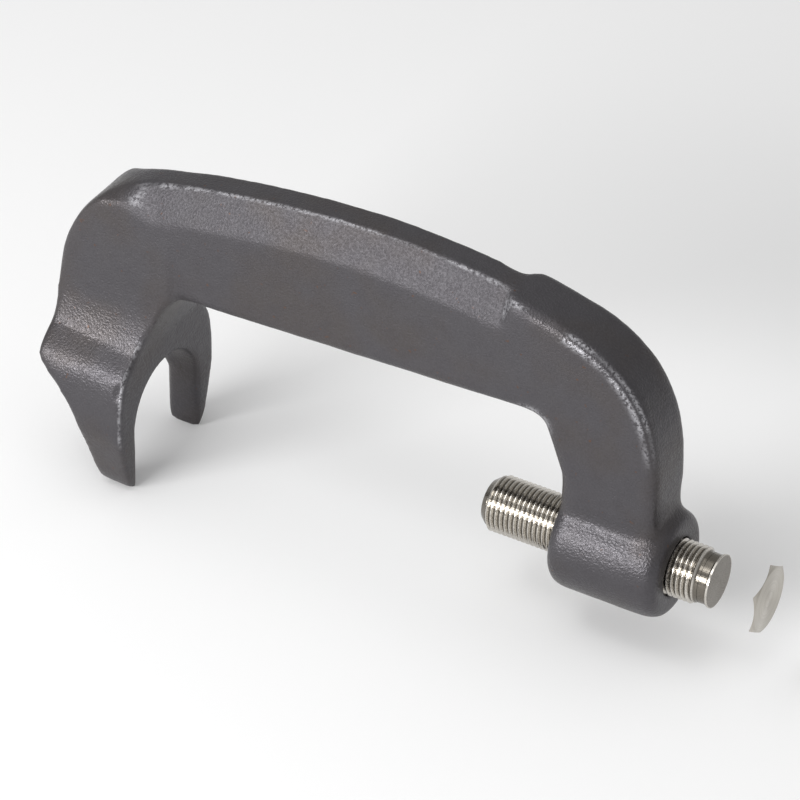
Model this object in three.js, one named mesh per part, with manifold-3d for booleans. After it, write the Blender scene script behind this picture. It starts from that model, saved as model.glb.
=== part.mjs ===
// A forged C-frame press: one steel forging with a forked jaw at one end and a threaded boss at
// the other, and a fine-thread forcing screw that turns through the boss towards the fork.
// Millimetres, +Z up. X runs along the screw, from the fork to the hexagon head.

import * as THREE from 'three';
import { mergeVertices } from 'three/addons/utils/BufferGeometryUtils.js';
import Module from 'manifold-3d';

// ---- driving dimensions ----------------------------------------------------------------------
// Every X below is counted from the inner face of the boss, and every Z from the screw axis.

// The opening of the C.
const JAW_OPENING = 125.6; // jaw face to boss
const THROAT_AT_JAW = 36; // underside of the back, over the fork
const THROAT_AT_LEG = 39.7; // underside of the back, at the leg
const THROAT_CORNER_JAW = 12; // how far the corner over the fork runs under the back
const FORK_FACE_TOP = 17.5; // where the fork's flat face turns forward into that corner
const THROAT_CORNER_LEG = 6;
const THROAT_SLANT_HEIGHT = 13; // the slanted stretch between that corner and the leg
const THROAT_SLANT_DEPTH = 5;

// The forged frame.
const FRAME_THICKNESS = 19;
const FRAME_EDGE = 3; // rounding of its long edges
const BACK_CREST = 76.4; // highest point of the back
const CREST_FROM_JAW = 62;
const LEG_INSET = 0.4; // leg's inner face, behind the boss's face
const LEG_DEPTH = 28.3;
const RIDGE_WIDTH = 8; // narrow top of the back, between its two bevels
const BEVEL_DROP = 10; // height of those bevels
const BEVEL_START = 24; // behind the jaw face, where the edge starts to narrow
const BEVEL_SHALLOW_START = 12; // from here the bevel is only a wide edge rounding
const BEVEL_SHALLOW_END = 9;
const BEVEL_SHALLOW_DROP = 3;
const BEVEL_FULL = 2; // past the jaw face, where it has its whole height
const BEVEL_END = 39.6; // inboard of the leg's outer face
const BEVEL_RUN_OUT = 7.5;
const BEVEL_STEP = 4; // spacing of its sections
const BEVEL_DROP_STEP = 0.5; // and the most that one is deeper than the last

// The forked jaw.
const BLOCK_THICKNESS = 22.4; // stands a little proud of the frame on both sides
const BLOCK_DEPTH = 28.7; // jaw face to its back
const BLOCK_LIP = 7.6; // how far the proud part runs past the jaw face
const BLOCK_DRAFT_FROM = 26; // between these heights it thins down to the frame
const BLOCK_DRAFT_TO = 60;
const SLOT_WIDTH = 31.8;
const SLOT_CROWN = 8.2; // top of the slot's arch
const FORK_WIDTH = 48.8;
const FORK_WIDEST = -4.5; // height at which the fork is that wide
const EAR_TOP = 26; // height at which the flare leaves the block
const EAR_RISE = 0.05; // the flare climbs this much per millimetre towards the back
const TIP_DROP = 25.8; // tips below the screw axis
const TIP_DEPTH = 11.3;
const TIP_WIDTH = 39.6; // across the outsides of the two tips
const TIP_ROUND = 3;
const ARM_BACK = 13; // height at which the back of the fork turns forward
const ARM_WAIST = -8; // height below which the arms keep their depth
const ARM_INNER_DEPTH = 9.8; // of an arm at the slot, less than at its outside
const ARM_SLANT = 0.7; // how fast it deepens outwards

// The boss that carries the screw.
const BOSS_LENGTH = 32.3;
const BOSS_RADIUS = 15.3;
const BOSS_EDGE = 3.2;

// The forcing screw: 5/8 inch, 18 threads per inch.
const SCREW_DIAMETER = 15.875;
const BORE_CLEARANCE = 0.35;
const BORE_CHAMFER = 0.5;
const SCREW_REACH = 23.5; // screw past the boss, towards the fork
const TIP_CHAMFER = 2;
const NECK_DIAMETER = 13.9;
const NECK_LENGTH = 3.4;
const HEAD_GAP = 11.3; // boss to head
const HEAD_LENGTH = 15;
const HEAD_FLATS = 18.2;
const HEAD_TURN = 25; // degrees, as the screw stands
const HEAD_CHAMFER = 0.95; // where it reaches the hexagon's corners
const HEAD_FACE_DIAMETER = 17.8; // of its round, turned ends

// The hardened ball in the screw's tip.
const BALL_DIAMETER = 6.35;
const BALL_PROUD = 1.6;
const BALL_CLEARANCE = 0.35;

const CURVE_STEPS = 8; // segments of one rounded corner
const RIM_STEPS = 3;
const BACK_STEPS = 44; // segments of the back's outer curve
const ROUND_STEPS = 48; // segments of a full turn

// ---- places that follow from them --------------------------------------------------------------
const jawX = -JAW_OPENING;
const blockBackX = jawX - BLOCK_DEPTH;
const lipX = jawX + BLOCK_LIP;
const legInnerX = LEG_INSET;
const legOuterX = legInnerX + LEG_DEPTH;
const screwRadius = SCREW_DIAMETER / 2;
const boreRadius = screwRadius + BORE_CLEARANCE;
const headInnerX = BOSS_LENGTH + HEAD_GAP;
const headOuterX = headInnerX + HEAD_LENGTH;
const tipX = -SCREW_REACH;
const ballX = tipX + BALL_DIAMETER / 2 - BALL_PROUD;

// ---- solids ----------------------------------------------------------------------------------
const wasm = await Module();
wasm.setup();

function solid(geometry) {
  const bare = geometry.index ? geometry.toNonIndexed() : geometry.clone();
  bare.deleteAttribute('normal');
  bare.deleteAttribute('uv');
  const welded = mergeVertices(bare, 1e-4);
  const corners = welded.index.array;
  const faces = [];
  for (let i = 0; i < corners.length; i += 3) {
    const [a, b, c] = corners.slice(i, i + 3);
    // A pole or a repeated profile point leaves faces with no area.
    if (a !== b && b !== c && c !== a) faces.push(a, b, c);
  }
  return new wasm.Manifold(
    new wasm.Mesh({
      numProp: 3,
      vertProperties: new Float32Array(welded.attributes.position.array),
      triVerts: new Uint32Array(faces),
    }),
  );
}

function geometryOf(body) {
  const mesh = body.getMesh();
  const geometry = new THREE.BufferGeometry();
  geometry.setAttribute('position', new THREE.BufferAttribute(mesh.vertProperties, 3));
  geometry.setIndex(new THREE.BufferAttribute(mesh.triVerts, 1));
  geometry.computeVertexNormals();
  return geometry;
}

// A side view, drawn as x and z, made thick along Y about the middle plane.
function plate(outline, thickness, edge = 0) {
  const geometry = new THREE.ExtrudeGeometry(outline, {
    depth: thickness - 2 * edge,
    curveSegments: CURVE_STEPS,
    bevelEnabled: edge > 0,
    bevelThickness: edge,
    bevelSize: edge,
    bevelOffset: -edge,
    bevelSegments: RIM_STEPS,
  });
  geometry.translate(0, 0, edge - thickness / 2);
  geometry.rotateX(Math.PI / 2);
  return solid(geometry);
}

// An end view, drawn as y and z, made long along X. rise lifts it, for each millimetre behind the
// jaw face.
function bar(outline, fromX, toX, rise = 0) {
  const geometry = new THREE.ExtrudeGeometry(outline, {
    depth: toX - fromX,
    curveSegments: 2 * CURVE_STEPS,
    bevelEnabled: false,
  });
  const along = new THREE.Matrix4().makeBasis(
    new THREE.Vector3(0, 1, 0),
    new THREE.Vector3(0, 0, 1),
    new THREE.Vector3(1, 0, -rise),
  );
  geometry.applyMatrix4(along);
  geometry.translate(fromX, 0, rise * (jawX - fromX));
  return solid(geometry);
}

// Rings with equal counts of [x, y, z] points, joined end to end.
function loft(rings) {
  const count = rings[0].length;
  const points = rings.flat(2);
  const faces = [];
  for (let start = 0; start < (rings.length - 1) * count; start += count) {
    for (let i = 0; i < count; i += 1) {
      const a = start + i;
      const b = start + ((i + 1) % count);
      faces.push(a, b, a + count, b, b + count, a + count);
    }
  }
  const last = (rings.length - 1) * count;
  for (let i = 1; i < count - 1; i += 1) {
    faces.push(0, i + 1, i, last, last + i, last + i + 1);
  }
  const geometry = new THREE.BufferGeometry();
  geometry.setAttribute('position', new THREE.Float32BufferAttribute(points, 3));
  geometry.setIndex(faces);
  return solid(geometry);
}

// A profile of [radius, x] points, spun about the screw axis.
function turned(profile) {
  const points = profile
    .map(([radius, x]) => new THREE.Vector2(radius, x))
    .filter((point, i, all) => i === 0 || point.distanceTo(all[i - 1]) > 1e-4);
  const geometry = new THREE.LatheGeometry(points, ROUND_STEPS);
  geometry.rotateZ(-Math.PI / 2);
  return solid(geometry);
}

// ---- forged frame ------------------------------------------------------------------------------
// The outer curve of the back, from the back of the block over the crest and down the leg.
const crestX = jawX + CREST_FROM_JAW;
const backCurve = new THREE.SplineCurve(
  [
    [blockBackX, -46],
    [blockBackX + 1, -36.5],
    [blockBackX + 4.4, -26.5],
    [blockBackX + 10.6, -17.4],
    [blockBackX + 20, -11],
    [blockBackX + 36, -6.2],
    [(blockBackX + 36 + crestX) / 2, -2],
    [crestX, 0],
    [(crestX + legOuterX - 46) / 2, -0.7],
    [legOuterX - 46, -3.6],
    [legOuterX - 30, -7.4],
    [legOuterX - 17.5, -12.6],
    [legOuterX - 8.6, -20.4],
    [legOuterX - 3.1, -30.5],
    [legOuterX - 0.5, -42],
    [legOuterX, -54],
  ].map(([x, belowCrest]) => new THREE.Vector2(x, BACK_CREST + belowCrest)),
);

function backHeight(x) {
  const points = backCurve.getPoints(4 * BACK_STEPS);
  const after = Math.max(1, points.findIndex((point) => point.x >= x));
  const a = points[after - 1];
  const b = points[after];
  return THREE.MathUtils.mapLinear(x, a.x, b.x, a.y, b.y);
}

// Side view of the forging without its boss, and with or without the fork's arms.
function sideView(arms) {
  const outline = new THREE.Shape(backCurve.getPoints(BACK_STEPS));
  outline.lineTo(legOuterX, 0);
  outline.lineTo(legInnerX, 0);
  const slantTop = THROAT_AT_LEG - THROAT_CORNER_LEG / 2;
  outline.lineTo(legInnerX, slantTop - THROAT_SLANT_HEIGHT);
  outline.lineTo(legInnerX - THROAT_SLANT_DEPTH, slantTop);
  outline.quadraticCurveTo(
    legInnerX - THROAT_SLANT_DEPTH - 1, THROAT_AT_LEG,
    legInnerX - THROAT_SLANT_DEPTH - THROAT_CORNER_LEG, THROAT_AT_LEG,
  );
  outline.lineTo(jawX + THROAT_CORNER_JAW, THROAT_AT_JAW);
  outline.bezierCurveTo(
    jawX + 0.42 * THROAT_CORNER_JAW, THROAT_AT_JAW,
    jawX + 0.2 * THROAT_CORNER_JAW, (2 * FORK_FACE_TOP + THROAT_AT_JAW) / 3,
    jawX, FORK_FACE_TOP,
  );
  if (!arms) {
    outline.lineTo(jawX, ARM_BACK);
    outline.lineTo(blockBackX, ARM_BACK);
    return outline;
  }
  outline.lineTo(jawX, TIP_ROUND / 2 - TIP_DROP);
  outline.quadraticCurveTo(jawX, -TIP_DROP, jawX - TIP_ROUND / 2, -TIP_DROP);
  const armBackX = jawX - TIP_DEPTH;
  outline.lineTo(armBackX + TIP_ROUND, -TIP_DROP);
  outline.quadraticCurveTo(armBackX, -TIP_DROP, armBackX, TIP_ROUND - TIP_DROP);
  outline.splineThru(
    [
      [armBackX - 0.9, ARM_WAIST - 7.5],
      [armBackX - 2.7, ARM_WAIST],
      [armBackX - 4.9, ARM_BACK - 15],
      [armBackX - 7.4, ARM_BACK - 10.6],
      [armBackX - 10.6, ARM_BACK - 7],
      [blockBackX + 3.4, ARM_BACK - 4],
      [blockBackX, ARM_BACK],
    ].map(([x, z]) => new THREE.Vector2(x, z)),
  );
  return outline;
}

// End view of the fork: from inside the block down through the flare to the two tapering arms.
function forkView() {
  const block = BLOCK_THICKNESS / 2;
  const wide = FORK_WIDTH / 2;
  const tip = TIP_WIDTH / 2;
  const arm = new THREE.SplineCurve(
    [
      [block - 0.4, EAR_TOP + 2],
      [block + 0.4, EAR_TOP - 2.5],
      [block + 1.8, EAR_TOP - 5.6],
      [block + 4.8, EAR_TOP - 8],
      [wide - 4.2, EAR_TOP - 11.4],
      [wide - 1.8, EAR_TOP - 15],
      [wide - 0.6, EAR_TOP - 20.5],
      [wide, FORK_WIDEST],
      [wide - 1.4, (FORK_WIDEST * 2 - TIP_DROP) / 3],
      [tip, TIP_ROUND - TIP_DROP],
      [tip - TIP_ROUND, -TIP_DROP],
    ].map(([y, z]) => new THREE.Vector2(y, z)),
  );
  const right = [
    new THREE.Vector2(block - FRAME_EDGE, EAR_TOP + FRAME_EDGE),
    ...arm.getPoints(3 * CURVE_STEPS),
    new THREE.Vector2(tip - TIP_ROUND, -2 * TIP_DROP),
  ];
  const left = right.map(({ x, y }) => new THREE.Vector2(-x, y)).reverse();
  return new THREE.Shape([...right, ...left]);
}

// End view of the block, drafted so that it thins upwards from proud of the frame to inside it.
function blockView() {
  const proud = BLOCK_THICKNESS / 2;
  const draft = (proud - FRAME_THICKNESS / 2) / (BLOCK_DRAFT_TO - BLOCK_DRAFT_FROM);
  const right = [
    [proud, 0],
    [proud, BLOCK_DRAFT_FROM],
    [proud - draft * (BACK_CREST - BLOCK_DRAFT_FROM), BACK_CREST],
    [proud - draft * (BACK_CREST - BLOCK_DRAFT_FROM), 2 * BACK_CREST],
  ].map(([y, z]) => new THREE.Vector2(y, z));
  const left = right.map(({ x, y }) => new THREE.Vector2(-x, y)).reverse();
  return new THREE.Shape([...right, ...left]);
}

// The fork's slot, open at the bottom, with a half-round crown.
function slotView() {
  const radius = SLOT_WIDTH / 2;
  const outline = new THREE.Shape();
  outline.moveTo(-radius, -2 * TIP_DROP);
  outline.lineTo(radius, -2 * TIP_DROP);
  outline.absarc(0, SLOT_CROWN - radius, radius, 0, Math.PI, false);
  return outline;
}

// What one long bevel takes off the back. side is 1 or -1. Over the fork it starts as a wide
// edge rounding and then deepens; at the leg it runs out by moving sideways.
function bevelCut(side) {
  const ridge = RIDGE_WIDTH / 2;
  const across = FRAME_THICKNESS / 2 - ridge;
  const clear = BLOCK_THICKNESS;
  const off = clear / 2 + across;
  const endX = legOuterX - BEVEL_END;
  // Place, half width left on top, and depth at the frame's side.
  const course = [
    [jawX - BEVEL_START, off, BEVEL_SHALLOW_DROP],
    [jawX - BEVEL_SHALLOW_START, ridge + 1, BEVEL_SHALLOW_DROP],
    [jawX - BEVEL_SHALLOW_END, ridge, BEVEL_SHALLOW_DROP],
    [jawX + BEVEL_FULL, ridge, BEVEL_DROP],
    [endX - BEVEL_RUN_OUT, ridge, BEVEL_DROP],
    [endX, off, BEVEL_DROP],
  ];
  const ring = (x, top, drop) => {
    const z = backHeight(x);
    const corners = [
      [top - across, z + drop],
      [top + 3 * across, z - 3 * drop],
      [top + 3 * across + clear, z - 3 * drop],
      [top + 3 * across + clear, z + BEVEL_DROP],
    ].map(([y, height]) => [x, side * y, height]);
    return side > 0 ? corners : corners.reverse();
  };
  const rings = [ring(...course[0])];
  for (let leg = 1; leg < course.length; leg += 1) {
    const from = course[leg - 1];
    const to = course[leg];
    const steps = Math.ceil(
      Math.max((to[0] - from[0]) / BEVEL_STEP, (to[2] - from[2]) / BEVEL_DROP_STEP),
    );
    for (let step = 1; step <= steps; step += 1) {
      rings.push(ring(...from.map((value, i) => THREE.MathUtils.lerp(value, to[i], step / steps))));
    }
  }
  return loft(rings);
}

// What leaves the arms shallower at the slot than at their outsides. side is 1 or -1. Over the
// waist it leans back with them.
function armRelief(side) {
  const inner = SLOT_WIDTH / 2 - 1;
  const outer = FORK_WIDTH / 2 + 1;
  const innerX = jawX - ARM_INNER_DEPTH + ARM_SLANT;
  const outerX = innerX - ARM_SLANT * (outer - inner);
  const ring = (z, lean) => {
    const corners = [
      [innerX - lean, inner],
      [outerX - lean, outer],
      [blockBackX - FORK_WIDTH, outer],
      [blockBackX - FORK_WIDTH, inner],
    ].map(([x, y]) => [x, side * y, z]);
    return side > 0 ? corners : corners.reverse();
  };
  return loft([ring(-2 * TIP_DROP, 0), ring(ARM_WAIST, 0), ring(ARM_BACK, BLOCK_DEPTH / 2)]);
}

// The boss, a short cylinder with rounded rims.
function bossBlank() {
  const rims = new THREE.Path();
  rims.moveTo(0, 0);
  rims.lineTo(BOSS_RADIUS - BOSS_EDGE, 0);
  rims.absarc(BOSS_RADIUS - BOSS_EDGE, BOSS_EDGE, BOSS_EDGE, -Math.PI / 2, 0, false);
  rims.absarc(BOSS_RADIUS - BOSS_EDGE, BOSS_LENGTH - BOSS_EDGE, BOSS_EDGE, 0, Math.PI / 2, false);
  rims.lineTo(0, BOSS_LENGTH);
  return turned(rims.getPoints(RIM_STEPS).map(({ x, y }) => [x, y]));
}

function boreCut() {
  const mouth = boreRadius + BORE_CHAMFER;
  return turned([
    [0, -BOSS_EDGE],
    [mouth + BOSS_EDGE, -BOSS_EDGE],
    [boreRadius, BORE_CHAMFER],
    [boreRadius, BOSS_LENGTH - BORE_CHAMFER],
    [mouth + BOSS_EDGE, BOSS_LENGTH + BOSS_EDGE],
    [0, BOSS_LENGTH + BOSS_EDGE],
  ]);
}

function frame() {
  const bow = plate(sideView(false), FRAME_THICKNESS, FRAME_EDGE);
  const block = plate(sideView(false), BLOCK_THICKNESS, FRAME_EDGE);
  const fork = plate(sideView(true), 2 * FORK_WIDTH);
  return bow
    .add(block.intersect(bar(blockView(), blockBackX - 1, lipX)))
    .add(fork.intersect(bar(forkView(), blockBackX - 1, lipX, EAR_RISE)))
    .subtract(bevelCut(1))
    .subtract(bevelCut(-1))
    .subtract(bar(slotView(), blockBackX - 1, lipX))
    .subtract(armRelief(1))
    .subtract(armRelief(-1))
    .add(bossBlank())
    .subtract(boreCut());
}

// ---- forcing screw -----------------------------------------------------------------------------
// Shank, neck and hexagon head in one piece, with a pocket for the ball in the tip.
function forcingScrew() {
  const neckX = headInnerX - NECK_LENGTH;
  const neck = NECK_DIAMETER / 2;
  const shank = turned([
    [0, tipX],
    [screwRadius - TIP_CHAMFER, tipX],
    [screwRadius, tipX + TIP_CHAMFER],
    [screwRadius, neckX],
    [neck, neckX + screwRadius - neck],
    [neck, headInnerX + 1],
    [0, headInnerX + 1],
  ]);
  const corner = HEAD_FLATS / Math.sqrt(3);
  const hexagon = new THREE.Shape();
  for (let k = 0; k < 6; k += 1) {
    const angle = THREE.MathUtils.degToRad(HEAD_TURN + 60 * k);
    hexagon[k ? 'lineTo' : 'moveTo'](corner * Math.cos(angle), corner * Math.sin(angle));
  }
  const chamfers = turned([
    [0, headInnerX],
    [HEAD_FACE_DIAMETER / 2, headInnerX],
    [corner, headInnerX + HEAD_CHAMFER],
    [corner, headOuterX - HEAD_CHAMFER],
    [HEAD_FACE_DIAMETER / 2, headOuterX],
    [0, headOuterX],
  ]);
  const head = bar(hexagon, headInnerX, headOuterX).intersect(chamfers);
  return shank.add(head).subtract(ball(BALL_DIAMETER / 2 + BALL_CLEARANCE));
}

// ---- thrust ball -------------------------------------------------------------------------------
function ball(radius) {
  const sphere = new THREE.SphereGeometry(radius, ROUND_STEPS / 2, ROUND_STEPS / 4);
  sphere.rotateZ(Math.PI / 2);
  sphere.translate(ballX, 0, 0);
  return solid(sphere);
}

// ---- assembly ----------------------------------------------------------------------------------
const forgedSteel = new THREE.MeshStandardMaterial({
  color: 0x4b494b,
  roughness: 0.55,
  metalness: 0.6,
});
const brightSteel = new THREE.MeshStandardMaterial({
  color: 0xc9c3ba,
  roughness: 0.3,
  metalness: 1,
});
const bearingSteel = new THREE.MeshStandardMaterial({
  color: 0xb9bcc0,
  roughness: 0.12,
  metalness: 1,
});

// The origin is in the middle of the bounding box's underside, at the height of the fork's tips.
const group = new THREE.Group();
for (const [name, body, material] of [
  ['forged_frame', frame(), forgedSteel],
  ['forcing_screw', forcingScrew(), brightSteel],
  ['thrust_ball', ball(BALL_DIAMETER / 2), bearingSteel],
]) {
  const mesh = new THREE.Mesh(geometryOf(body), material);
  mesh.name = name;
  group.add(mesh);
}
group.position.set(-(blockBackX + headOuterX) / 2, 0, TIP_DROP);

export default group;
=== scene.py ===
import math

import bmesh
import bpy
from mathutils import Matrix, Vector, noise


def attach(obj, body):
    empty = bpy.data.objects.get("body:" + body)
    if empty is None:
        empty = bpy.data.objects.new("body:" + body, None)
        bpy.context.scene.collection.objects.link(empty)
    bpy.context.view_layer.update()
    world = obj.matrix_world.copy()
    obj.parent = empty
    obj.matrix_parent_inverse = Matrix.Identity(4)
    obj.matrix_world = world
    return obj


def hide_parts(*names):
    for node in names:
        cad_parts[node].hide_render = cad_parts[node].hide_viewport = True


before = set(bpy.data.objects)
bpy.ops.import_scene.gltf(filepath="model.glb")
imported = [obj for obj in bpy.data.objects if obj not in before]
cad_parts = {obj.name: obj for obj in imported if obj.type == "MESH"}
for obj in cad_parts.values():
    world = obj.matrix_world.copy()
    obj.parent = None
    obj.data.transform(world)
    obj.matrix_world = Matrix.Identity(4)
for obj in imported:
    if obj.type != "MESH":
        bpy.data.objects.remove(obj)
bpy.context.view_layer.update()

# ---- Forged frame --------------------------------------------------------------------------
# One closed-die forging in medium carbon steel: fork, block, arched back, leg and boss. The dies
# leave every edge rounded and every inside corner filled, and the skin slightly uneven. After
# shot blasting it was oxidised to a dark satin grey, and only the bore was cut.

MM = 0.001
SKIN_CELL = 0.6 * MM  # spacing of the points on the forged skin

AXIS_Z = 25.8 * MM  # the screw's axis above the tips of the fork
JAW_X = -77.75 * MM  # the fork's flat face
LIP_X = JAW_X + 7.6 * MM  # where the thicker block ends
BOSS_X = 47.85 * MM  # the boss's inner face
BOSS_LENGTH = 32.3 * MM
BOSS_RADIUS = 15.3 * MM
BORE_RADIUS = 8.05 * MM
BORE_MOUTH = 8.6 * MM
MOUTH_DEPTH = 0.9 * MM  # how far in the bore's countersink reaches
STEP_X = 36 * MM  # where the two bevels end in a small step


def shown(name, bm):
    """A scene object made from a bmesh, which is then freed."""
    mesh = bpy.data.meshes.new(name)
    bm.to_mesh(mesh)
    bm.free()
    piece = bpy.data.objects.new(name, mesh)
    bpy.context.scene.collection.objects.link(piece)
    return piece


def applied(source, name):
    """A new object with source's mesh, its modifiers worked in; source is dropped."""
    graph = bpy.context.evaluated_depsgraph_get()
    mesh = bpy.data.meshes.new_from_object(source.evaluated_get(graph))
    mesh.name = name
    bpy.data.objects.remove(source)
    piece = bpy.data.objects.new(name, mesh)
    bpy.context.scene.collection.objects.link(piece)
    return piece


def smoothed(piece, group, weight, rounds):
    """A Smooth modifier that acts as far as weight(point), from 0 to 1, says."""
    shares = piece.vertex_groups.new(name=group)
    for vert in piece.data.vertices:
        share = weight(vert.co)
        if share > 0.01:
            shares.add([vert.index], share, "REPLACE")
    relax = piece.modifiers.new(group, "SMOOTH")
    relax.factor = 0.5
    relax.iterations = rounds
    relax.vertex_group = group


def near(value, low, high, soft):
    """1 between low and high, falling to 0 over soft on either side."""
    return max(0, min(1, 1 + min(value - low, high - value) / soft))


def off_axis(point):
    return math.hypot(point.y, point.z - AXIS_Z)


skin = bmesh.new()
skin.from_mesh(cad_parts["forged_frame"].data)
bmesh.ops.remove_doubles(skin, verts=skin.verts, dist=1e-6)
blank = shown("blank", skin)
remesh = blank.modifiers.new("even_skin", "REMESH")
remesh.mode = "VOXEL"
remesh.voxel_size = SKIN_CELL
remesh.use_smooth_shade = True
forging = applied(blank, "forging")


def clear_of_boss(point):
    """0 on the boss's rims and in its bore, 1 away from them."""
    rim = 1 - near(point.x, BOSS_X - 1 * MM, BOSS_X + BOSS_LENGTH + 1 * MM, 1 * MM)
    return max(rim, near(off_axis(point), BOSS_RADIUS - 1 * MM, 1, 3 * MM))


def soft_places(point):
    """The creases that the dies fill: under the leg, round the block, the flare, the step."""
    blend = near(off_axis(point), BOSS_RADIUS - 1 * MM, BOSS_RADIUS + 5 * MM, 3 * MM)
    leg = near(point.x, BOSS_X, BOSS_X + BOSS_LENGTH, 1 * MM) * blend
    block = near(point.x, LIP_X - 2.5 * MM, LIP_X + 3 * MM, 2 * MM)
    block *= near(point.z, 30 * MM, 90 * MM, 6 * MM)
    flare = near(point.z, 34 * MM, 66 * MM, 4 * MM) * near(point.x, -1, JAW_X - 3 * MM, 2 * MM)
    step = near(point.x, 26 * MM, 42 * MM, 4 * MM) * near(point.z, 80 * MM, 1, 8 * MM)
    start = near(point.x, -1, JAW_X + 6 * MM, 8 * MM) * near(point.z, 74 * MM, 1, 8 * MM)
    return max(0.0, min(1, max(leg, block, flare, 0.6 * step, start)))


def under_leg(point):
    """The wide fillet between the leg and the boss."""
    ring = near(off_axis(point), BOSS_RADIUS, BOSS_RADIUS + 7 * MM, 3 * MM)
    return ring * near(point.x, BOSS_X + 1 * MM, BOSS_X + BOSS_LENGTH - 1 * MM, 2 * MM)


def bevel_end(point):
    """The bevels fade into the full edge, the far one more softly."""
    far = near(point.y, 1.5 * MM, 1, 2 * MM)
    return far * near(point.x, 26 * MM, 46 * MM, 4 * MM) * near(point.z, 84 * MM, 1, 6 * MM)


def fork_edges(point):
    """The fork is rounded more than the rest."""
    return near(point.x, -1, LIP_X - 2 * MM, 3 * MM) * near(point.z, -1, 48 * MM, 6 * MM)


def fork_tips(point):
    """The ends of the two arms are rounder still, towards the outside."""
    low = near(point.z, -1, 2 * MM, 3 * MM) * near(point.x, -1, JAW_X + 1 * MM, 1 * MM)
    return low * near(abs(point.y), 18.5 * MM, 1, 2.5 * MM)


def swept_flare(point, normal):
    """How far the block's side is swept outwards above the fork, as the die's wide fillet does."""
    if abs(normal.y) < 0.4 or not 42 * MM < point.z < 60 * MM:
        return Vector((0, 0, 0))
    swept = 10.9 * MM + 5.1 * MM * ((60 * MM - point.z) / (16 * MM)) ** 1.9
    out = max(0, min(swept - abs(point.y), 1.9 * MM)) * near(point.x, -1, LIP_X - 3 * MM, 2 * MM)
    return Vector((0, math.copysign(out, point.y), 0))


shifts = [swept_flare(vert.co, vert.normal) for vert in forging.data.vertices]
for vert, shift in zip(forging.data.vertices, shifts):
    vert.co += shift
smoothed(forging, "all_edges", clear_of_boss, 10)
smoothed(forging, "filled_creases", soft_places, 30)
smoothed(forging, "fork_edges", fork_edges, 24)
smoothed(forging, "under_leg", under_leg, 40)
smoothed(forging, "bevel_end", bevel_end, 40)
smoothed(forging, "fork_tips", fork_tips, 16)
forging = applied(forging, "forging")

# The rounding shortened the two arms, which are drawn back down to their full length.
ARM_TOP = 16 * MM
lost = min(vert.co.z for vert in forging.data.vertices)
for vert in forging.data.vertices:
    vert.co.z -= lost * max(0, 1 - (vert.co.z - lost) / ARM_TOP)

# The skin isn't true to the die: it wanders by a tenth of a millimetre. The bore is cut round.
# A knock left a dent on the near arm. How far a point stands out on an edge is kept, for wear.
# The two bevels came out coarser than the rest, and the near edge past them, like the near arm's
# forward edge, was ground and is rubbed; the bright lines kept for these edges and for the near
# bevel's top edge are partly that wear and partly painted highlight where the rounded edges catch
# the light.
DENT = Vector((-79.2, -24, 36)) * MM
DENT_SIZE = Vector((1.9, 4, 3.6)) * MM
DENT_DEPTH = 0.75  # in millimetres, like the wander


def bevel_coarseness(point, normal):
    return near(point.z, 78 * MM, 1, 4 * MM) * near(abs(normal.y), 0.72, 0.95, 0.08) * near(
        point.x, JAW_X - 8 * MM, STEP_X, 3 * MM,
    )


def wear_and_highlight_lines(point, normal):
    """Bright lines, partly rubbed wear and partly painted highlight: two on the outer near edge,
    one down the near arm and one along the top of the near bevel.
    """
    outer = near(point.x, 38 * MM, 1, 3 * MM) * near(point.z, 68 * MM, 100 * MM, 8 * MM)
    lines = max(near(-normal.y, 0.90, 0.96, 0.04), near(-normal.y, 0.42, 0.62, 0.1))
    outer *= lines * near(point.x - point.z, -43 * MM, 1, 4 * MM)
    arm = near(point.x, JAW_X - 4 * MM, JAW_X, 0.7 * MM) * near(point.z, 22 * MM, 56 * MM, 5 * MM)
    arm *= near(point.y, -1, -9 * MM, 1 * MM) * near(normal.x, 0.42, 0.80, 0.14)
    ridge = near(point.x, -82 * MM, 34 * MM, 3 * MM) * near(point.z, 84 * MM, 1, 4 * MM)
    ridge *= near(-normal.y, 0.45, 0.72, 0.12)
    return max(outer, arm, 0.8 * ridge)


mesh = forging.data
averaged = forging.modifiers.new("mean", "SMOOTH")
averaged.factor = 0.5
averaged.iterations = 16
graph = bpy.context.evaluated_depsgraph_get()
mean = forging.evaluated_get(graph).to_mesh()
edge = mesh.attributes.new("edge", "FLOAT", "POINT")
coarse = mesh.attributes.new("coarse", "FLOAT", "POINT")
rubbed_and_highlight = mesh.attributes.new("rubbed_and_highlight", "FLOAT", "POINT")
for vert, soft in zip(mesh.vertices, mean.vertices):
    edge.data[vert.index].value = (vert.co - soft.co).dot(vert.normal) / MM
    coarse.data[vert.index].value = bevel_coarseness(vert.co, vert.normal)
    rubbed_and_highlight.data[vert.index].value = wear_and_highlight_lines(vert.co, vert.normal)
forging.evaluated_get(graph).to_mesh_clear()
forging.modifiers.remove(averaged)
normals = [vert.normal.copy() for vert in mesh.vertices]
for vert, normal in zip(mesh.vertices, normals):
    point = vert.co
    if off_axis(point) < BORE_MOUTH + 0.3 * MM and point.x > 0:
        deep = min(point.x - BOSS_X, BOSS_X + BOSS_LENGTH - point.x)
        flared = max(0, min(1, 1 - deep / MOUTH_DEPTH))
        radius = BORE_RADIUS + (BORE_MOUTH - BORE_RADIUS) * flared
        arm = Vector((0, point.y, point.z - AXIS_Z))
        arm *= radius / max(arm.length, MM)
        vert.co = Vector((point.x, arm.y, AXIS_Z + arm.z))
        continue
    wander = 0.09 * noise.noise(point / (9 * MM)) + 0.04 * noise.noise(point / (3.1 * MM)) - 0.06
    away = point - DENT
    reach = sum((away[i] / DENT_SIZE[i]) ** 2 for i in range(3))
    vert.co = point + normal * (wander - DENT_DEPTH * max(0, 1 - reach) ** 1.5) * MM
print("forging", len(mesh.polygons), "faces")
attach(forging, "frame")
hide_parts("forged_frame")
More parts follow.
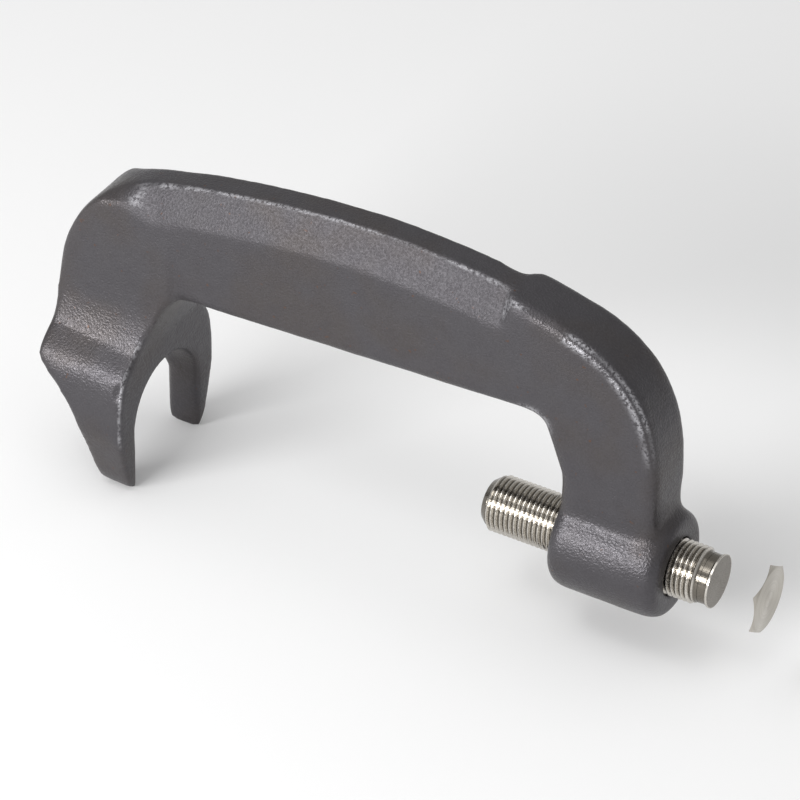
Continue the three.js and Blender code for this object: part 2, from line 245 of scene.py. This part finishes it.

# The finish is a thin dark oxide over blasted steel: satin, a little blue-grey, with a grain
# about half a millimetre across left by the scale and the shot. It is rubbed bright in specks
# along the edges, and browned in faint clouds and small spots of rust. A few bright lines on
# rounded edges are painted highlight, partly over rubbed wear.


def linear(code):
    """A #rrggbb colour as linear RGBA."""
    channels = [int(code[i:i + 2], 16) / 255 for i in (1, 3, 5)]
    return [c / 12.92 if c <= 0.04045 else ((c + 0.055) / 1.055) ** 2.4 for c in channels] + [1]


def node(tree, kind, links=(), values=(), **settings):
    """A shader node with its settings, its sockets' values and what feeds each socket."""
    made = tree.nodes.new(kind)
    for key, value in settings.items():
        setattr(made, key, value)
    for socket, value in dict(values).items():
        made.inputs[socket].default_value = value
    for socket, source in dict(links).items():
        tree.links.new(source, made.inputs[socket])
    return made


def material(name):
    """A new node material: its tree, its Principled shader and itself."""
    made = bpy.data.materials.new(name)
    made.use_nodes = True
    return made.node_tree, made.node_tree.nodes["Principled BSDF"], made


def grain(tree, place, size, detail=2.0, rough=0.5):
    """Noise from 0 to 1 whose cells are about size across."""
    return node(
        tree, "ShaderNodeTexNoise", {"Vector": place},
        {"Scale": 1 / size, "Detail": detail, "Roughness": rough},
    ).outputs["Fac"]


def ramp(tree, source, low, high, start=0.0, end=1.0):
    """source carried smoothly from low..high to start..end."""
    return node(
        tree, "ShaderNodeMapRange", {0: source}, {1: low, 2: high, 3: start, 4: end},
        interpolation_type="SMOOTHSTEP",
    ).outputs[0]


def arithmetic(tree, operation, a, b):
    """a with b, where a is a socket and b is a socket or a number."""
    links, values = ({0: a}, {1: b}) if isinstance(b, float) else ({0: a, 1: b}, {})
    return node(tree, "ShaderNodeMath", links, values, operation=operation).outputs[0]


def product(tree, a, b):
    return arithmetic(tree, "MULTIPLY", a, b)


def blend(tree, share, a, b):
    """Two colours mixed; each is a socket or a #rrggbb code."""
    mix = node(tree, "ShaderNodeMix", {"Factor": share}, data_type="RGBA")
    for socket, colour in ((6, a), (7, b)):
        if isinstance(colour, str):
            mix.inputs[socket].default_value = linear(colour)
        else:
            tree.links.new(colour, mix.inputs[socket])
    return mix.outputs[2]


def mark(tree, name):
    """One of the skin's own values at each point."""
    return node(tree, "ShaderNodeAttribute", attribute_name=name).outputs["Fac"]


def bumped(tree, height, strength, depth, under=None):
    """The surface's direction, roughened by height; under is a coarser or finer bump below."""
    links = {"Height": height} if under is None else {"Height": height, "Normal": under}
    return node(
        tree, "ShaderNodeBump", links, {"Strength": strength, "Distance": depth},
    ).outputs["Normal"]


tree, shader, oxide = material("oxidised_forged_steel")
place = node(tree, "ShaderNodeTexCoord").outputs["Object"]
scale_grain = grain(tree, place, 0.62 * MM, 2.0, 0.55)
patches = grain(tree, place, 5 * MM, 3.0)
clouds = grain(tree, place, 22 * MM, 2.0)
spots = grain(tree, place, 1.5 * MM, 1.0)
flecks = grain(tree, place, 0.8 * MM, 3.0, 0.6)

colour = blend(tree, ramp(tree, clouds, 0.42, 0.66, 0.0, 0.6), "#4c4a4d", "#4b4542")
colour = blend(tree, ramp(tree, patches, 0.35, 0.75, 0.0, 0.3), colour, "#423f43")
colour = blend(tree, ramp(tree, scale_grain, 0.3, 0.7, 0.0, 0.25), colour, "#5b595d")
rust = product(tree, ramp(tree, spots, 0.69, 0.78, 0.0, 0.8), ramp(tree, patches, 0.5, 0.62))
colour = blend(tree, rust, colour, "#5f4434")
worn = product(tree, ramp(tree, mark(tree, "edge"), 0.14, 0.34), ramp(tree, flecks, 0.50, 0.62))
colour = blend(tree, worn, colour, "#7c7a7d")
# Painted highlight over rubbed wear: the lines of the skin's rubbed mark are painted light grey,
# partly as ground, rubbed metal and partly as painted highlight where rounded edges catch the
# light.
bare_and_highlight = product(tree, mark(tree, "rubbed_and_highlight"), ramp(tree, flecks, 0.38, 0.54))
bare_and_highlight = product(tree, bare_and_highlight, ramp(tree, grain(tree, place, 9 * MM, 2.0), 0.36, 0.55, 0.25, 1.0))
colour = blend(tree, bare_and_highlight, colour, "#a3a2a6")
tree.links.new(colour, shader.inputs["Base Color"])
shader.inputs["Metallic"].default_value = 0.62
satin = ramp(tree, scale_grain, 0.25, 0.75, 0.42, 0.28)
rougher = product(tree, mark(tree, "coarse"), 0.17)
satin = arithmetic(tree, "ADD", satin, rougher)
tree.links.new(satin, shader.inputs["Roughness"])
bumps = bumped(tree, scale_grain, 1.0, 0.2 * MM)
bumps = bumped(tree, patches, 0.35, 0.25 * MM, bumps)
tree.links.new(bumps, shader.inputs["Normal"])
forging.data.materials.append(oxide)

# ---- Forcing screw -------------------------------------------------------------------------
# Turned in one piece from bright hexagon bar: a 5/8 inch fine thread, an undercut neck and the
# hexagon head. The thread is cut and bright, the flats keep the drawn lines of the bar, and
# the end face has the fine rings of the lathe. A pocket in its tip holds the ball.

SCREW_RADIUS = 15.875 / 2 * MM
PITCH = 25.4 / 18 * MM
THREAD_DEPTH = 0.6134 * PITCH
CREST = PITCH / 14  # half the width of the flat on a crest
FLANK = THREAD_DEPTH * math.tan(math.radians(30))
TURN_STEPS = 72
SCREW_REACH = 23.5 * MM  # past the boss, towards the fork
HEAD_GAP = 11.3 * MM  # from the boss to the head
TIP_X = BOSS_X - SCREW_REACH
HEAD_X = BOSS_X + BOSS_LENGTH + HEAD_GAP
HEAD_LENGTH = 15 * MM
ACROSS_FLATS = 18.2 * MM
HEAD_CORNER = ACROSS_FLATS / math.sqrt(3)
HEAD_TURN = math.radians(25)
HEAD_CHAMFER = 0.95 * MM  # at the hexagon's corners
HEAD_FACE = 8.9 * MM  # radius of its round end face
NECK_RADIUS = 13.9 / 2 * MM
NECK_LENGTH = 3.4 * MM
BALL_RADIUS = 6.35 / 2 * MM
BALL_PROUD = 1.6 * MM  # how far the ball stands out of the tip
BALL_X = TIP_X + BALL_RADIUS - BALL_PROUD
axis = Vector((0, 0, AXIS_Z))
root = SCREW_RADIUS - THREAD_DEPTH


def lathe(name, profile, steps=96):
    """A closed body of revolution about the screw's axis, from (x, radius) points."""
    bm = bmesh.new()
    line = [bm.verts.new((x, 0, AXIS_Z + radius)) for x, radius in profile]
    edges = [bm.edges.new(pair) for pair in zip(line, line[1:])]
    bmesh.ops.spin(
        bm, geom=line + edges, cent=axis, axis=(1, 0, 0), angle=math.tau, steps=steps,
        use_merge=True,
    )
    bmesh.ops.remove_doubles(bm, verts=bm.verts, dist=1e-7)
    bmesh.ops.recalc_face_normals(bm, faces=bm.faces)
    return shown(name, bm)


def combine(piece, other, operation):
    """A boolean of piece with other, which is then dropped."""
    join = piece.modifiers.new(operation.lower(), "BOOLEAN")
    join.operation = operation
    join.object = other
    join.solver = "EXACT"
    made = applied(piece, piece.name)
    bpy.data.objects.remove(other)
    return made


thread = bmesh.new()
offsets = [
    (0, root),
    (PITCH / 2 - CREST - FLANK, root),
    (PITCH / 2 - CREST, SCREW_RADIUS),
    (PITCH / 2 + CREST, SCREW_RADIUS),
    (PITCH / 2 + CREST + FLANK, root),
    (PITCH, root),
]
line = [thread.verts.new((TIP_X - 2 * PITCH + x, 0, AXIS_Z + r)) for x, r in offsets]
for a, b in zip(line, line[1:]):
    thread.edges.new((a, b))
turns = math.ceil((HEAD_X - NECK_LENGTH - TIP_X) / PITCH) + 3
bmesh.ops.spin(
    thread, geom=thread.verts[:] + thread.edges[:], cent=axis, axis=(1, 0, 0),
    dvec=(PITCH / TURN_STEPS, 0, 0), angle=math.tau, steps=TURN_STEPS,
)
one_turn = thread.verts[:] + thread.edges[:] + thread.faces[:]
for turn in range(1, turns):
    copy = bmesh.ops.duplicate(thread, geom=one_turn)["geom"]
    copied = [g for g in copy if isinstance(g, bmesh.types.BMVert)]
    bmesh.ops.translate(thread, verts=copied, vec=(turn * PITCH, 0, 0))
bmesh.ops.remove_doubles(thread, verts=thread.verts, dist=1e-6)
# The point is chamfered and the thread runs out into the neck.
for vert in thread.verts:
    arm = Vector((0, vert.co.y, vert.co.z - AXIS_Z))
    run_in = root - 1.3 * MM + (vert.co.x - TIP_X) * 0.8
    run_out = root - 0.1 * MM + max(0, HEAD_X - NECK_LENGTH - vert.co.x) * 0.9
    limit = max(min(arm.length, run_in, run_out), 0.5 * MM)
    arm *= limit / arm.length
    vert.co = Vector((vert.co.x, arm.y, AXIS_Z + arm.z))
for x, side in ((TIP_X, -1), (HEAD_X - NECK_LENGTH + 0.8 * MM, 1)):
    cut = bmesh.ops.bisect_plane(
        thread, geom=thread.verts[:] + thread.edges[:] + thread.faces[:],
        plane_co=(x, 0, 0), plane_no=(side, 0, 0), clear_outer=True,
    )
    rim = [e for e in cut["geom_cut"] if isinstance(e, bmesh.types.BMEdge)]
    bmesh.ops.edgeloop_fill(thread, edges=rim)
bmesh.ops.recalc_face_normals(thread, faces=thread.faces)
threaded = shown("screw_thread", thread)
mouth = TIP_X - 0.5 * MM
pocket_lip = 2.95 * MM
pocket = lathe("pocket", [
    (mouth, 0), (mouth, pocket_lip + 0.3 * MM), (TIP_X + 0.3 * MM, pocket_lip),
    (BALL_X, BALL_RADIUS + 0.15 * MM), (BALL_X + BALL_RADIUS, 2 * MM),
    (BALL_X + BALL_RADIUS + 0.8 * MM, 0),
], 48)
threaded = combine(threaded, pocket, "DIFFERENCE")
print("thread", len(threaded.data.polygons), "faces")

# The head, cut from the bar and chamfered at both ends.
bar = bmesh.new()
hexagon = [
    bar.verts.new((
        HEAD_X, HEAD_CORNER * math.cos(HEAD_TURN + k * math.tau / 6),
        AXIS_Z + HEAD_CORNER * math.sin(HEAD_TURN + k * math.tau / 6),
    ))
    for k in range(6)
]
cap = bar.faces.new(hexagon)
drawn = bmesh.ops.extrude_face_region(bar, geom=[cap], use_keep_orig=True)
far_verts = [g for g in drawn["geom"] if isinstance(g, bmesh.types.BMVert)]
bmesh.ops.translate(bar, verts=far_verts, vec=(HEAD_LENGTH, 0, 0))
long_edges = [e for e in bar.edges if abs(e.verts[0].co.x - e.verts[1].co.x) > MM]
bmesh.ops.bevel(
    bar, geom=long_edges, offset=0.25 * MM, segments=3, profile=0.5, affect="EDGES", material=-1,
)
bmesh.ops.recalc_face_normals(bar, faces=bar.faces)
head = shown("screw_head", bar)
end_x = HEAD_X + HEAD_LENGTH
chamfers = lathe("chamfers", [
    (HEAD_X, 0), (HEAD_X, HEAD_FACE), (HEAD_X + HEAD_CHAMFER, HEAD_CORNER),
    (end_x - HEAD_CHAMFER, HEAD_CORNER), (end_x, HEAD_FACE), (end_x, 0),
], 144)
head = combine(head, chamfers, "INTERSECT")
soften = head.modifiers.new("broken_edges", "BEVEL")
soften.width = 0.12 * MM
soften.segments = 2
soften.limit_method = "ANGLE"
soften.angle_limit = math.radians(14)
head = applied(head, "screw_head")
neck_x = HEAD_X - NECK_LENGTH
neck = lathe("screw_neck", [
    (neck_x - 1 * MM, 0), (neck_x - 1 * MM, root - 0.5 * MM), (neck_x + 0.4 * MM, root - 0.5 * MM),
    (neck_x + 0.9 * MM, NECK_RADIUS), (HEAD_X - 0.5 * MM, NECK_RADIUS),
    (HEAD_X - 0.15 * MM, NECK_RADIUS + 0.12 * MM), (HEAD_X + 0.01 * MM, NECK_RADIUS + 0.5 * MM),
    (HEAD_X + 0.5 * MM, NECK_RADIUS + 0.5 * MM), (HEAD_X + 0.5 * MM, 0),
])
for piece in (threaded, neck, head):
    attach(piece, "screw")
    for face in piece.data.polygons:
        face.use_smooth = False
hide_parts("forcing_screw")

# The thread: cut steel. Its tool marks run round it, so each flank spreads light along the axis,
# and the roots are painted darker, as painted shade.


def radius_of(tree, place):
    """Distance of a point from the screw's axis, in metres."""
    arm = node(
        tree, "ShaderNodeVectorMath", {0: place}, {1: (0, 0, -AXIS_Z)}, operation="ADD",
    ).outputs[0]
    arm = node(
        tree, "ShaderNodeVectorMath", {0: arm}, {1: (0, 1, 1)}, operation="MULTIPLY",
    ).outputs[0]
    return node(tree, "ShaderNodeVectorMath", {0: arm}, operation="LENGTH").outputs["Value"]


def streaks(tree, place, length, width):
    """Noise drawn out along X."""
    stretched = node(
        tree, "ShaderNodeMapping", {"Vector": place},
        {"Scale": (1 / length, 1 / width, 1 / width)},
    )
    return node(
        tree, "ShaderNodeTexNoise", {"Vector": stretched.outputs[0]},
        {"Scale": 1.0, "Detail": 3.0, "Roughness": 0.6},
    ).outputs["Fac"]


ROUND_THE_AXIS = 0.25  # anisotropic rotation: a quarter turn from lines along the axis


def marked_metal(tree, shader, share, turn):
    """Bare metal whose fine marks spread the light; turn says which way they run."""
    shader.inputs["Metallic"].default_value = 1.0
    shader.inputs["Anisotropic"].default_value = share
    shader.inputs["Anisotropic Rotation"].default_value = turn
    around = node(tree, "ShaderNodeTangent", direction_type="RADIAL", axis="X").outputs[0]
    tree.links.new(around, shader.inputs["Tangent"])


tree, shader, cut_steel = material("cut_thread_steel")
place = node(tree, "ShaderNodeTexCoord").outputs["Object"]
radius = radius_of(tree, place)
# Painted shade: the colour darkens towards the thread's roots.
root_shade = ramp(tree, radius, root, root + 0.45 * THREAD_DEPTH, 1.0, 0.0)
marks = grain(tree, place, 0.5 * MM, 2.0)
colour = blend(tree, ramp(tree, marks, 0.3, 0.7), "#c4bfb7", "#dad6cf")
colour = blend(tree, root_shade, colour, "#78736b")
tree.links.new(colour, shader.inputs["Base Color"])
tree.links.new(ramp(tree, marks, 0.3, 0.7, 0.20, 0.30), shader.inputs["Roughness"])
marked_metal(tree, shader, 0.5, ROUND_THE_AXIS)
for piece in (threaded, neck):
    piece.data.materials.append(cut_steel)

# The head's flats: bright drawn bar, with fine lines along it that spread light round the axis,
# and a few deeper drag marks.
tree, shader, drawn_steel = material("drawn_bar_steel")
place = node(tree, "ShaderNodeTexCoord").outputs["Object"]
fine = streaks(tree, place, 5 * MM, 0.16 * MM)
drags = streaks(tree, place, 6 * MM, 0.45 * MM)
colour = blend(tree, ramp(tree, fine, 0.3, 0.7), "#a19b92", "#cac6be")
colour = blend(tree, ramp(tree, drags, 0.58, 0.75, 0.0, 0.5), colour, "#8f877c")
tree.links.new(colour, shader.inputs["Base Color"])
tree.links.new(ramp(tree, drags, 0.3, 0.7, 0.40, 0.52), shader.inputs["Roughness"])
marked_metal(tree, shader, 0.9, 0.0)
tree.links.new(bumped(tree, fine, 0.4, 0.03 * MM), shader.inputs["Normal"])
head.data.materials.append(drawn_steel)

# Its ends: faced in the lathe, so fine rings run round the axis and light fans out from it.
tree, shader, faced_steel = material("faced_end_steel")
place = node(tree, "ShaderNodeTexCoord").outputs["Object"]
radius = radius_of(tree, place)
ring_place = node(tree, "ShaderNodeCombineXYZ", {"X": radius}).outputs[0]
rings = grain(tree, ring_place, 0.22 * MM, 3.0, 0.7)
broad = grain(tree, ring_place, 1.6 * MM, 1.0)
colour = blend(tree, ramp(tree, rings, 0.3, 0.7), "#b4afa6", "#cdc9c1")
colour = blend(tree, ramp(tree, broad, 0.4, 0.7, 0.0, 0.4), colour, "#aaa59c")
tree.links.new(colour, shader.inputs["Base Color"])
shader.inputs["Roughness"].default_value = 0.34
marked_metal(tree, shader, 0.9, ROUND_THE_AXIS)
tree.links.new(bumped(tree, rings, 0.3, 0.02 * MM), shader.inputs["Normal"])
head.data.materials.append(faced_steel)
for face in head.data.polygons:
    if abs(face.normal.x) > 0.3:
        face.material_index = 1

# ---- Thrust ball ---------------------------------------------------------------------------
# A hardened and polished bearing ball, pressed into the pocket in the screw's tip, so its widest
# part bites a little into the pocket's wall. The screw turns on it against the work.

sphere = bmesh.new()
bmesh.ops.create_uvsphere(
    sphere, u_segments=64, v_segments=32, radius=BALL_RADIUS,
    matrix=Matrix.Translation((BALL_X, 0, AXIS_Z)),
)
for face in sphere.faces:
    face.smooth = True
bearing = shown("bearing_ball", sphere)
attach(bearing, "ball")
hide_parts("thrust_ball")
tree, shader, polished = material("polished_bearing_steel")
shader.inputs["Base Color"].default_value = linear("#cfcfd2")
shader.inputs["Metallic"].default_value = 1.0
shader.inputs["Roughness"].default_value = 0.08
bearing.data.materials.append(polished)

# ---- Studio --------------------------------------------------------------------------------
# A flat pale floor and three soft boxes, seen from above the screw's side of the tool.

floor_mesh = bmesh.new()
bmesh.ops.create_grid(floor_mesh, x_segments=1, y_segments=1, size=4)
floor = shown("floor", floor_mesh)
tree, shader, paper = material("white_paper")
shader.inputs["Base Color"].default_value = linear("#f4f4f4")
shader.inputs["Roughness"].default_value = 0.9
shader.inputs["Emission Color"].default_value = (1, 1, 1, 1)
shader.inputs["Emission Strength"].default_value = 0.05
floor.data.materials.append(paper)

world = bpy.data.worlds.new("studio")
bpy.context.scene.world = world
world.use_nodes = True
sky = world.node_tree.nodes["Background"]
sky.inputs["Color"].default_value = (1, 1, 1, 1)
sky.inputs["Strength"].default_value = 0.46


def soft_box(name, place, aim, width, height, power):
    """A rectangular area light at place, turned towards aim."""
    lamp = bpy.data.lights.new(name, "AREA")
    lamp.shape = "RECTANGLE"
    lamp.size = width
    lamp.size_y = height
    lamp.energy = power
    light = bpy.data.objects.new(name, lamp)
    light.location = place
    light.rotation_euler = (Vector(place) - Vector(aim)).to_track_quat("Z", "Y").to_euler()
    bpy.context.scene.collection.objects.link(light)


TOOL_MIDDLE = (0, 0, 0.04)
soft_box("key", (-0.45, -1.10, 0.50), TOOL_MIDDLE, 0.8, 0.26, 13.5)
soft_box("top", (-0.25, -0.1, 1.25), TOOL_MIDDLE, 1.2, 1.1, 3.6)
soft_box("fill", (-0.145, -0.21, 0.55), (0.06, 0, 0.026), 0.2, 0.14, 0.35)
bpy.context.scene.view_settings.view_transform = "Standard"

camera = bpy.data.cameras.new("camera")
camera.lens = 186.6
camera.sensor_width = 36
camera.clip_start = 0.05
viewer = bpy.data.objects.new("camera", camera)
bpy.context.scene.collection.objects.link(viewer)
azimuth = math.radians(28.98)
elevation = math.radians(36.19)
roll = math.radians(1.34)
back = Vector((
    math.sin(azimuth) * math.cos(elevation),
    -math.cos(azimuth) * math.cos(elevation),
    math.sin(elevation),
))
right = Vector((math.cos(azimuth), math.sin(azimuth), 0))
up = back.cross(right)
turned = Matrix((
    right * math.cos(roll) + up * math.sin(roll),
    up * math.cos(roll) - right * math.sin(roll),
    back,
)).transposed()
aim = Vector((-4.25, 0, 47.85)) * MM
distance = 1.105
viewer.matrix_world = Matrix.Translation(aim + back * distance) @ turned.to_4x4()
bpy.context.scene.camera = viewer
